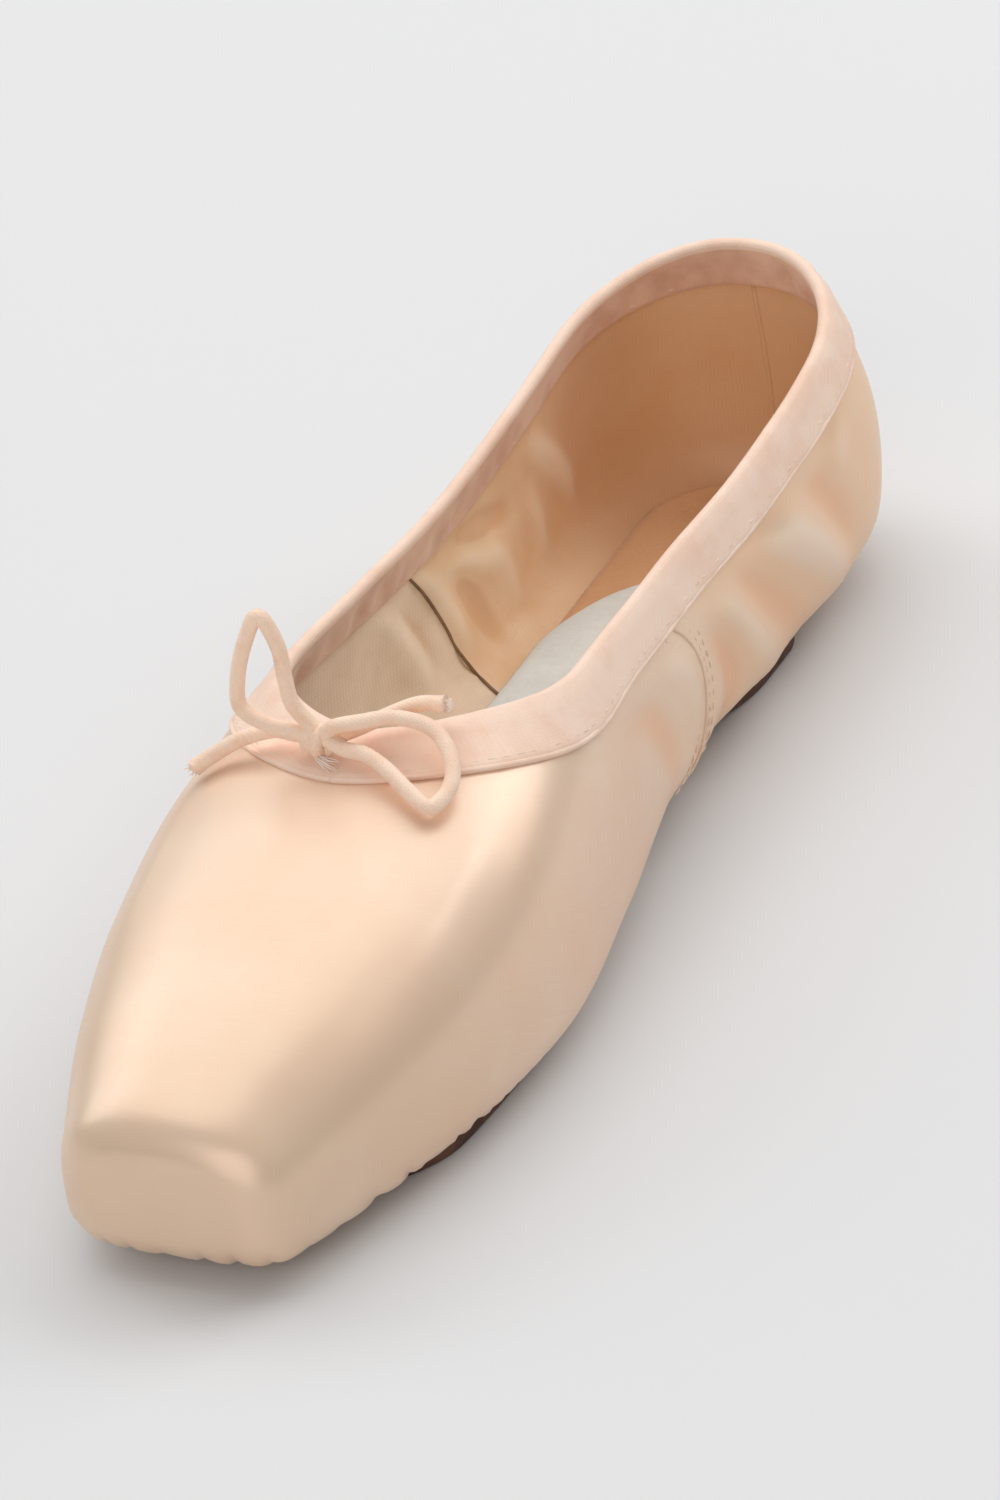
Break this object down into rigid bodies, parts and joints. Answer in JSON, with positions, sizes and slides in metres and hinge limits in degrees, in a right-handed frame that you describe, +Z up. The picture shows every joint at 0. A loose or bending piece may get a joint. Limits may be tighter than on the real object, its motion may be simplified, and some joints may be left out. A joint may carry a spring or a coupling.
{
  "type": "pointe shoe",
  "caption": "Satin pointe shoe with a flat toe platform, stiff box, bound collar, tied drawstring, heel strip and one-piece leather sole, standing empty on its sole.",
  "frame": {"origin": "centre of the bounding box on the floor, without the bow", "axes": "+Z up, toe towards -Y, heel towards +Y, X across the shoe"},
  "size_m": [0.0706, 0.239, 0.0743],
  "materials": {
    "satin": "peach satin with a soft sheen over canvas",
    "tape": "matte pale pink cotton tape",
    "sole_leather": "matte brown sole leather with a dark edge",
    "sock": "pale grey cotton sock on board",
    "cord": "matte braided elastic cord"
  },
  "bodies": {
    "root": {"upper": "satin", "collar_binding": "tape", "heel_strip": "satin", "outsole": "sole_leather", "insole": "sock", "drawstring_knot": "cord", "drawstring_loop_left": "cord", "drawstring_loop_right": "cord", "drawstring_end_left": "cord", "drawstring_end_right": "cord"}
  },
  "joints": []
}
